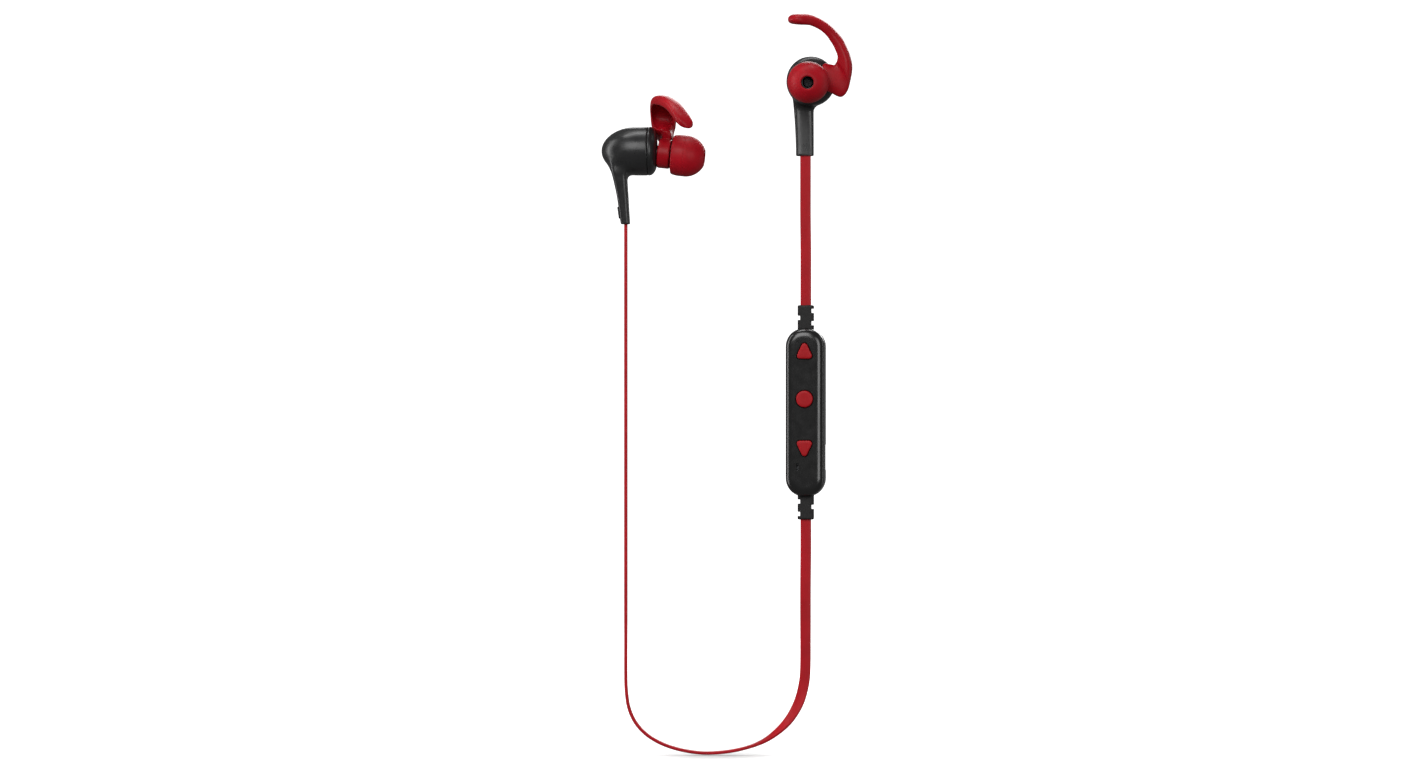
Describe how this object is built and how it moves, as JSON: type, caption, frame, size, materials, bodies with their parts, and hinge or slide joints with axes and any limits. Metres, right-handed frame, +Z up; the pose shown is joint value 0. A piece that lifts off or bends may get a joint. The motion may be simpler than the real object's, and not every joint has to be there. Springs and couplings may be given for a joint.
{
  "type": "neckband earphones",
  "caption": "In-ear sport earphones: two earbuds with curled ear hooks and domed tips on a flat red cable with a slim in-line remote.",
  "frame": {"origin": "the mouth of the right ear tip, where the ear canal holds the set", "axes": "+Z up, the set hangs down -Z; the right ear tip and the buttons face -Y; +X towards the remote's right side"},
  "size_m": [0.0751, 0.0337, 0.2219],
  "materials": {
    "red_silicone": "soft satin silicone",
    "red_ribbon": "satin cable jacket",
    "red_button": "satin",
    "housing_plastic": "gloss dark grey",
    "remote_plastic": "gloss black",
    "black_rubber": "matte",
    "steel_parts": "plain",
    "steel_mesh": "dark woven mesh",
    "magnet": "nickel plated",
    "copper_wire": "enamelled copper",
    "diaphragm_film": "thin film",
    "circuit_board": "solder mask",
    "chip_plastic": "moulded",
    "cell_foil": "foil pouch",
    "clear_lens": "diffusing lens"
  },
  "bodies": {
    "headset": {"right_rear_housing": "housing_plastic", "right_front_housing": "housing_plastic", "right_side_marker": "black_rubber", "right_nozzle_mesh": "steel_mesh", "right_driver_frame": "steel_parts", "right_driver_magnet": "magnet", "right_voice_coil": "copper_wire", "right_diaphragm": "diaphragm_film", "left_rear_housing": "housing_plastic", "left_front_housing": "housing_plastic", "left_side_marker": "black_rubber", "left_nozzle_mesh": "steel_mesh", "left_driver_frame": "steel_parts", "left_driver_magnet": "magnet", "left_voice_coil": "copper_wire", "left_diaphragm": "diaphragm_film", "remote_front_cover": "remote_plastic", "remote_back_cover": "remote_plastic", "circuit_board": "circuit_board", "volume_up_switch": "steel_parts", "multifunction_switch": "steel_parts", "volume_down_switch": "steel_parts", "battery_cell": "cell_foil", "wireless_module": "chip_plastic", "microphone": "steel_parts", "indicator_light": "clear_lens", "charging_socket": "steel_parts", "upper_strain_relief": "black_rubber", "lower_strain_relief": "black_rubber", "long_cable": "red_ribbon", "short_cable": "red_ribbon"},
    "right_ear_hook": {"right_ear_hook": "red_silicone"},
    "right_ear_tip": {"right_ear_tip": "red_silicone"},
    "left_ear_hook": {"left_ear_hook": "red_silicone"},
    "left_ear_tip": {"left_ear_tip": "red_silicone"},
    "volume_up_button": {"volume_up_button": "red_button"},
    "multifunction_button": {"multifunction_button": "red_button"},
    "volume_down_button": {"volume_down_button": "red_button"}
  },
  "joints": [
    {"name": "volume_up_press", "type": "slide", "parent": "headset", "child": "volume_up_button", "axis": [0.1045, 0.9945, 0], "range_m": [0, 0.0004], "stiffness_N_per_m": 500},
    {"name": "multifunction_press", "type": "slide", "parent": "headset", "child": "multifunction_button", "axis": [0.1045, 0.9945, 0], "range_m": [0, 0.0004], "stiffness_N_per_m": 500},
    {"name": "volume_down_press", "type": "slide", "parent": "headset", "child": "volume_down_button", "axis": [0.1045, 0.9945, 0], "range_m": [0, 0.0004], "stiffness_N_per_m": 500},
    {"name": "right_hook_turn", "type": "hinge", "parent": "headset", "child": "right_ear_hook", "pos_m": [0.0008, 0.01482, 0.0001], "axis": [-0.0521, -0.998, -0.035], "range_deg": [-10, 52]},
    {"name": "left_hook_turn", "type": "hinge", "parent": "headset", "child": "left_ear_hook", "pos_m": [-0.04485, 0.02321, -0.021], "axis": [0.9891, -0.104, -0.1045], "range_deg": [-52, 10]},
    {"name": "right_tip_pull", "type": "slide", "parent": "headset", "child": "right_ear_tip", "axis": [-0.0521, -0.998, -0.035], "range_m": [0, 0.007]},
    {"name": "left_tip_pull", "type": "slide", "parent": "headset", "child": "left_ear_tip", "axis": [0.9891, -0.104, -0.1045], "range_m": [0, 0.007]}
  ]
}
